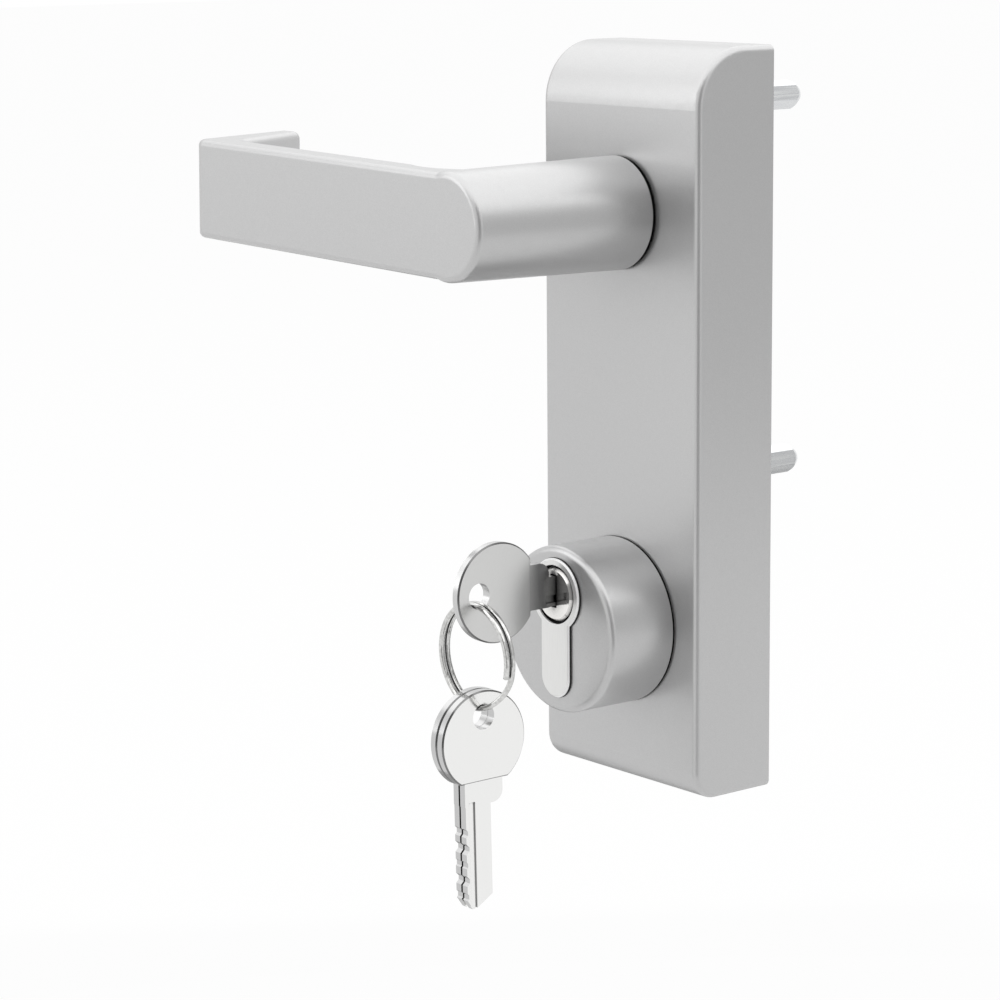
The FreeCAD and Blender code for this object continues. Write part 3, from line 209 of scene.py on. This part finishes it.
# Springs of drawn steel wire: the torsion spring that lifts the lever, the one that holds the slide
# down, the one round the coupling pin, and five small ones under the driver pins of the cylinder.
def wire_mesh(name, paths, across, radius, squareness=2.0, sides=16):
    """Mesh of one wire along each path. Its section is the rounded square |u|^p + |v|^p = radius^p, with
    p the squareness: u runs along the cross product of across and the path's direction, v along the
    cross product of that direction and u. Flat fans close both ends."""
    wires, length = paths.shape[:2]
    along = np.gradient(paths, axis=1)
    along /= np.linalg.norm(along, axis=2, keepdims=True)
    u = np.cross(across, along)
    u /= np.linalg.norm(u, axis=2, keepdims=True)
    v = np.cross(along, u)
    turn = np.linspace(0, 2 * math.pi, sides, endpoint=False)
    c, s = np.cos(turn), np.sin(turn)
    c = np.sign(c) * np.abs(c) ** (2 / squareness) * radius
    s = np.sign(s) * np.abs(s) ** (2 / squareness) * radius
    skin = paths[:, :, None] + u[:, :, None] * c[:, None] + v[:, :, None] * s[:, None]
    points = np.concatenate([skin.reshape(wires, length * sides, 3), paths[:, :1], paths[:, -1:]], 1)
    i, j = np.meshgrid(np.arange(length - 1), np.arange(sides), indexing="ij")
    k = (j + 1) % sides
    walls = np.stack([i * sides + j, i * sides + k, (i + 1) * sides + k, (i + 1) * sides + j], -1)
    j, k = j[0], k[0]
    last = (length - 1) * sides
    start = np.stack([np.full(sides, length * sides), k, j], -1)
    end = np.stack([np.full(sides, length * sides + 1), last + j, last + k], -1)
    faces = []
    for first in np.arange(wires) * points.shape[1]:
        faces += (walls.reshape(-1, 4) + first).tolist() + (start + first).tolist() + (end + first).tolist()
    mesh = bpy.data.meshes.new(name)
    mesh.from_pydata(points.reshape(-1, 3).tolist(), [], faces)
    smooth = [True] * (walls.size // 4) + [False] * (2 * sides)
    mesh.polygons.foreach_set("use_smooth", smooth * wires)
    return mesh


def add_piece(name, mesh, finish, body, slot, *stands_for):
    """Adds a mesh to the scene as a piece that rides on a body and stands for CAD nodes."""
    mesh.materials.append(finish)
    piece = bpy.data.objects.new(name, mesh)
    bpy.context.scene.collection.objects.link(piece)
    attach(piece, body)
    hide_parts(*stands_for)


spring_wire, tree, surface = plain_finish("drawn_spring_wire", (0.5, 0.5, 0.5), metallic=1.0, roughness=0.25)
drawing = grain_on_piece(tree, (1, 1, 1), size=0.0006)
tree.links.new(two_tone(tree, between(tree, drawing, 0, 1), (0.4, 0.4, 0.41), (0.6, 0.59, 0.57)),
               surface.inputs["Base Color"])
tree.links.new(between(tree, drawing, 0.18, 0.34), surface.inputs["Roughness"])
relief(tree, surface, drawing, depth=0.000006)
dress(spring_wire, "return_spring", "slide_spring", "pin_spring")

low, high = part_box("tumbler_springs")
coil_wire = 0.00021
coil_radius = (high.x - low.x) / 2 - coil_wire
coil_turns = 9
points_per_turn = 24
chamber_pitch = 0.0038
turn = np.linspace(0, 2 * math.pi * coil_turns, coil_turns * points_per_turn)
climb = np.linspace(low.z + coil_wire, high.z - coil_wire, len(turn))
middle_y = np.arange(low.y + coil_radius + coil_wire, high.y, chamber_pitch)
coil_paths = np.stack(np.broadcast_arrays(coil_radius * np.cos(turn),
                                          middle_y[:, None] + coil_radius * np.sin(turn), climb), -1)
coils = wire_mesh("tumbler_coils", coil_paths, np.array([0.0, 0.0, 1.0]), coil_wire, sides=8)
coils.shade_smooth()
add_piece("tumbler_coils", coils, spring_wire, "housing", "spring_steel", "tumbler_springs")

# Body of the half profile cylinder: extruded brass, sawn, drilled and nickel plated. Its face is
# brushed to a pale satin, a painted highlight makes the bevel round the face bright, and painted
# shade makes the flanks dark.
body_front_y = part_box("cylinder_body")[0].y
face_skin = 0.00003
bevel_depth = 0.00038
edge_blend = 0.00007


def depth_in_door(tree):
    """Y of a point of the piece."""
    place = tree.nodes.new("ShaderNodeTexCoord")
    parts = tree.nodes.new("ShaderNodeSeparateXYZ")
    tree.links.new(place.outputs["Object"], parts.inputs["Vector"])
    return parts.outputs["Y"]


brushed_nickel, tree, surface = plain_finish("brushed_nickel", (0.75, 0.75, 0.74), metallic=0.7,
                                             roughness=0.3)
brushing = grain_on_piece(tree, (1, 1, 0.05), size=0.0003)
brushed = two_tone(tree, between(tree, brushing, 0, 1), (0.77, 0.77, 0.76), (0.81, 0.81, 0.8))
depth = depth_in_door(tree)
bevel = between(tree, depth, 0, 1, body_front_y + face_skin, body_front_y + 2 * face_skin)
flank = between(tree, depth, 0, 1, body_front_y + bevel_depth, body_front_y + bevel_depth + edge_blend)
# Painted highlight: the bevel goes near white and less metallic. Painted shade: the flanks go near black.
bright = two_tone(tree, bevel, brushed, (0.97, 0.97, 0.97))
tree.links.new(two_tone(tree, flank, bright, (0.03, 0.03, 0.03)), surface.inputs["Base Color"])
tree.links.new(between(tree, bevel, 0.7, 0.2, 0, 1), surface.inputs["Metallic"])
tree.links.new(between(tree, brushing, 0.29, 0.34), surface.inputs["Roughness"])
relief(tree, surface, brushing, depth=0.000001)
dress(brushed_nickel, "cylinder_body")

# Plug of the cylinder, turned from brass and bright nickel plated, with its keyway broached through.
# Turning has left fine rings on its face, and painted shade darkens the keyway, the face next to the
# key and the gap round the plug.
key_axis_z = -0.039
plug_radius = 0.0069


def distance_from_key_axis(tree):
    """Distance of a point of the piece from the axis of the key."""
    place = tree.nodes.new("ShaderNodeTexCoord")
    centred = tree.nodes.new("ShaderNodeVectorMath")
    centred.operation = "MULTIPLY_ADD"
    centred.inputs[1].default_value = (1, 0, 1)
    centred.inputs[2].default_value = (0, 0, -key_axis_z)
    reach = tree.nodes.new("ShaderNodeVectorMath")
    reach.operation = "LENGTH"
    tree.links.new(place.outputs["Object"], centred.inputs[0])
    tree.links.new(centred.outputs["Vector"], reach.inputs[0])
    return reach.outputs["Value"]


bright_nickel, tree, surface = plain_finish("bright_nickel", (0.86, 0.85, 0.84), metallic=1.0, roughness=0.08)
rings = between(tree, distance_from_key_axis(tree), 0, 1, 0, plug_radius)
lathe = tree.nodes.new("ShaderNodeTexNoise")
lathe.noise_dimensions = "1D"
lathe.inputs["Scale"].default_value = 90.0
tree.links.new(rings, lathe.inputs["W"])
turned = two_tone(tree, between(tree, lathe.outputs["Fac"], 0, 1), (0.8, 0.79, 0.77), (0.9, 0.89, 0.87))
shade_crevices(tree, surface, turned, reach=0.004, dark_share=0.5, clear_share=0.95)
tree.links.new(between(tree, lathe.outputs["Fac"], 0.06, 0.13), surface.inputs["Roughness"])
relief(tree, surface, lathe.outputs["Fac"], depth=0.000004)
dress(bright_nickel, "cylinder_plug")

# Pins and chamber plugs inside the cylinder, turned from brass bar. Five key pins follow the cuts of
# the key, five driver pins lie under them, and plugs close the chambers.
pin_brass, tree, surface = plain_finish("pin_brass", (0.72, 0.52, 0.24), metallic=1.0, roughness=0.28)
bar = grain_on_piece(tree, (0.1, 0.1, 1), size=0.0003)
tree.links.new(two_tone(tree, between(tree, bar, 0, 1), (0.62, 0.43, 0.18), (0.8, 0.6, 0.3)),
               surface.inputs["Base Color"])
tree.links.new(between(tree, bar, 0.2, 0.36), surface.inputs["Roughness"])
relief(tree, surface, bar, depth=0.000005)
dress(pin_brass, "key_pins", "driver_pins", "chamber_plugs")

# Keys, stamped from nickel silver sheet, milled along the blade and cut. The stamped faces keep a
# soft satin, painted shade makes the sheared rims darker and their bevels darkest. The key in the
# lock is duller and painted darker as painted shade, and painted shade takes its shank to a dark grey.
def sheet_tones_with_edge_shade(tree, face, rim, bevel):
    """Colour of a stamped sheet that stands across X, with painted shade on its rims and bevels, by the
    size of the X part of its normal: the rim's tone below 0.5, the bevel's from 0.62 to 0.82, the face's
    above 0.92."""
    place = tree.nodes.new("ShaderNodeTexCoord")
    parts = tree.nodes.new("ShaderNodeSeparateXYZ")
    size = tree.nodes.new("ShaderNodeMath")
    size.operation = "ABSOLUTE"
    ramp = tree.nodes.new("ShaderNodeValToRGB")
    tree.links.new(place.outputs["Normal"], parts.inputs["Vector"])
    tree.links.new(parts.outputs["X"], size.inputs[0])
    tree.links.new(size.outputs["Value"], ramp.inputs["Fac"])
    stops = ramp.color_ramp.elements
    stops[0].position = 0.5
    stops[0].color = (rim, rim, rim, 1)
    stops[1].position = 0.92
    stops[1].color = (face, face, face * 0.99, 1)
    for position in (0.62, 0.82):
        stops.new(position).color = (bevel, bevel, bevel, 1)
    return ramp.outputs["Color"]


def key_finish(name, face, rim, roughness, shade_start):
    """Finish of a key, with a roughness that wanders a little along fine scratches. Painted shade takes
    its tones to a dark grey over the fade length from the given starting depth, and darkens its crevices."""
    finish, tree, surface = plain_finish(name, (face, face, face), metallic=1.0, roughness=roughness)
    scratch = grain_on_piece(tree, (1, 0.06, 1), size=0.0004)
    shank_shade = between(tree, depth_in_door(tree), 0, 1, shade_start, shade_start + shade_fade)
    tones = two_tone(tree, shank_shade, sheet_tones_with_edge_shade(tree, face, rim, 0.2), (0.3, 0.3, 0.3))
    shade_crevices(tree, surface, tones, reach=0.0008, dark_share=0.3, clear_share=0.8, dark=(0.1, 0.1, 0.1))
    tree.links.new(between(tree, scratch, roughness - 0.004, roughness + 0.008), surface.inputs["Roughness"])
    relief(tree, surface, scratch, depth=0.0000001)
    return finish


bow_end_y = -0.0507
# Painted shade on the shank of the key in the lock starts this far before the end of the bow and fades in
# over the next length.
shade_before_bow_end = 0.001
shade_fade = 0.0035
beyond_the_door = 1.0
key_nickel = key_finish("key_nickel", face=0.86, rim=0.55, roughness=0.16, shade_start=beyond_the_door)
# The key in the lock is rougher, and its tones are painted darker as painted shade.
shaded_key_nickel = key_finish("shaded_key_nickel", face=0.65, rim=0.6, roughness=0.26,
                             shade_start=bow_end_y - shade_before_bow_end)
dress(key_nickel, "spare_key_front", "spare_key_back")
dress(shaded_key_nickel, "lock_key")

# Split ring: two turns of flattened spring wire, nickel plated, with square cut ends. The strand
# steps from one turn to the other at its lower right, and there it is single. Angles are in degrees.
ring_nickel, tree, surface = plain_finish("ring_nickel", (0.5, 0.5, 0.49), metallic=1.0, roughness=0.08)
plating = grain_on_piece(tree, (1, 1, 1), size=0.0007)
plated = two_tone(tree, between(tree, plating, 0, 1), (0.5, 0.5, 0.49), (0.72, 0.72, 0.71))
# Painted shade darkens the wire where the two turns lie close together.
shade_crevices(tree, surface, plated, reach=0.0009, dark_share=0.45, clear_share=0.85)
tree.links.new(between(tree, plating, 0.05, 0.12), surface.inputs["Roughness"])
relief(tree, surface, plating, depth=0.000006)

ring_wire = 0.0006
low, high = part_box("split_ring")
ring_centre = (low + high) / 2
ring_radius = (high.z - low.z) / 2 - ring_wire
turn_offset = (high.y - low.y) / 2 - ring_wire
climb_start = 288.0
climb_span = 57.0
ring_points = 420
first = climb_start + climb_span - 360
angle = np.linspace(first, first + 2 * (360 - climb_span) + climb_span, ring_points)
step = np.clip((angle - climb_start) / climb_span, 0, 1)
level = turn_offset * (2 * step * step * (3 - 2 * step) - 1)
turn = np.radians(angle)
ring_path = np.stack([ring_centre.x + ring_radius * np.cos(turn), ring_centre.y + level,
                      ring_centre.z + ring_radius * np.sin(turn)], -1)
ring_mesh = wire_mesh("split_ring_wire", ring_path[None], np.array([0.0, 1.0, 0.0]), ring_wire,
                      squareness=2.6, sides=24)
add_piece("split_ring_wire", ring_mesh, ring_nickel, "ring", "steel", "split_ring")


# Studio: a pale floor under the hanging device, a white room round it, a large soft lamp above, a
# small one in front, and grey cards that the paint and the metal mirror but no camera sees.
def seen_directly(tree):
    """1 for rays that come from the camera, a mirror or a glass, else 0."""
    light = tree.nodes.new("ShaderNodeLightPath")
    total = light.outputs["Is Camera Ray"]
    for name in ("Is Glossy Ray", "Is Transmission Ray"):
        larger = tree.nodes.new("ShaderNodeMath")
        larger.operation = "MAXIMUM"
        tree.links.new(total, larger.inputs[0])
        tree.links.new(light.outputs[name], larger.inputs[1])
        total = larger.outputs["Value"]
    return total


room = bpy.data.worlds.new("white_room")
bpy.context.scene.world = room
room.use_nodes = True
tree = room.node_tree
tree.nodes.clear()
fill = tree.nodes.new("ShaderNodeBackground")
fill.inputs["Color"].default_value = (1, 1, 1, 1)
fill.inputs["Strength"].default_value = 0.6
white = tree.nodes.new("ShaderNodeBackground")
white.inputs["Color"].default_value = (1, 1, 1, 1)
white.inputs["Strength"].default_value = 1.0
mix = tree.nodes.new("ShaderNodeMixShader")
out = tree.nodes.new("ShaderNodeOutputWorld")
tree.links.new(seen_directly(tree), mix.inputs["Fac"])
tree.links.new(fill.outputs["Background"], mix.inputs[1])
tree.links.new(white.outputs["Background"], mix.inputs[2])
tree.links.new(mix.outputs["Shader"], out.inputs["Surface"])

floor_paper = bpy.data.materials.new("floor_paper")
floor_paper.use_nodes = True
tree = floor_paper.node_tree
paper = tree.nodes["Principled BSDF"]
paper.inputs["Base Color"].default_value = (0.9, 0.9, 0.9, 1)
paper.inputs["Roughness"].default_value = 0.9
glow = tree.nodes.new("ShaderNodeEmission")
glow.inputs["Strength"].default_value = 1.0
share = tree.nodes.new("ShaderNodeMath")
share.operation = "MULTIPLY"
share.inputs[1].default_value = 0.95
mix = tree.nodes.new("ShaderNodeMixShader")
tree.links.new(seen_directly(tree), share.inputs[0])
tree.links.new(share.outputs["Value"], mix.inputs["Fac"])
tree.links.new(paper.outputs["BSDF"], mix.inputs[1])
tree.links.new(glow.outputs["Emission"], mix.inputs[2])
tree.links.new(mix.outputs["Shader"], tree.nodes["Material Output"].inputs["Surface"])


def flat_card(name, corners, finish):
    """Four-cornered card of the room."""
    mesh = bpy.data.meshes.new(name)
    mesh.from_pydata(corners, [], [(0, 1, 2, 3)])
    mesh.materials.append(finish)
    card = bpy.data.objects.new(name, mesh)
    bpy.context.scene.collection.objects.link(card)
    return card


floor_z = -0.36
floor_reach = 12
flat_card("floor", [(x * floor_reach, y * floor_reach, floor_z)
                    for x, y in ((-1, -1), (1, -1), (1, 1), (-1, 1))], floor_paper)


def soft_lamp(name, place, aim, size, power):
    """Square lamp at a place, turned towards a point."""
    data = bpy.data.lights.new(name, "AREA")
    data.shape = "SQUARE"
    data.size = size
    data.energy = power
    lamp = bpy.data.objects.new(name, data)
    bpy.context.scene.collection.objects.link(lamp)
    lamp.location = place
    lamp.rotation_mode = "QUATERNION"
    lamp.rotation_quaternion = (Vector(aim) - Vector(place)).to_track_quat("-Z", "Y")


soft_lamp("overhead_lamp", place=(0.0, 0.2, 1.3), aim=(0, 0.2, 0), size=4.0, power=34)
soft_lamp("front_lamp", place=(-1.0, -1.3, 0.5), aim=(-0.05, -0.05, 0.03), size=0.9, power=3)


def grey_card(name, middle, width, height, grey, upright=True):
    """Card evenly lit to a grey, with its middle at a place. It stands facing the device, or lies flat
    with its height pointing away from it."""
    finish = bpy.data.materials.new(name)
    finish.use_nodes = True
    tree = finish.node_tree
    tree.nodes.clear()
    glow = tree.nodes.new("ShaderNodeEmission")
    glow.inputs["Color"].default_value = (grey, grey, grey, 1)
    out = tree.nodes.new("ShaderNodeOutputMaterial")
    tree.links.new(glow.outputs["Emission"], out.inputs["Surface"])
    middle = Vector(middle)
    across = Vector((-middle.y, middle.x, 0)).normalized() * width / 2
    away = Vector((middle.x, middle.y, 0)).normalized()
    rise = (Vector((0, 0, 1)) if upright else away) * height / 2
    corners = [middle - across - rise, middle + across - rise, middle + across + rise, middle - across + rise]
    card = flat_card(name, corners, finish)
    card.visible_camera = False
    card.visible_shadow = False


grey_card("side_card", (0.33, 0.262, 0.06), width=0.5, height=0.26, grey=0.68)
grey_card("camera_card", (0.8, -0.64, -0.1), width=0.9, height=2.0, grey=0.36)
grey_card("floor_card", (-0.4, 0.27, -0.34), width=0.5, height=0.5, grey=0.4, upright=False)

# Camera: to the right of the device and a little above it, as the photograph was taken. It leans by
# half a degree, and its lens is long. The aim is the point in the middle of the picture.
turn_left = math.radians(51.375)
look_down = math.radians(10.552)
lean = math.radians(-0.463)
forward = Vector((-math.sin(turn_left) * math.cos(look_down), math.cos(turn_left) * math.cos(look_down),
                  -math.sin(look_down)))
right = Vector((math.cos(turn_left), math.sin(turn_left), 0))
up = right.cross(forward)
leaned_right = right * math.cos(lean) + up * math.sin(lean)
leaned_up = up * math.cos(lean) - right * math.sin(lean)
aim = Vector((-0.043458, -0.024, -0.025141))
distance = 0.79995
focal_widths = 3.268851
camera = bpy.data.cameras.new("camera")
camera.sensor_width = 36.0
camera.lens = focal_widths * camera.sensor_width
camera.clip_start = 0.01
camera_object = bpy.data.objects.new("camera", camera)
bpy.context.scene.collection.objects.link(camera_object)
camera_object.matrix_world = Matrix.Translation(aim - forward * distance) @ Matrix(
    (leaned_right, leaned_up, -forward)).transposed().to_4x4()
bpy.context.scene.camera = camera_object
bpy.context.scene.view_settings.view_transform = "Standard"
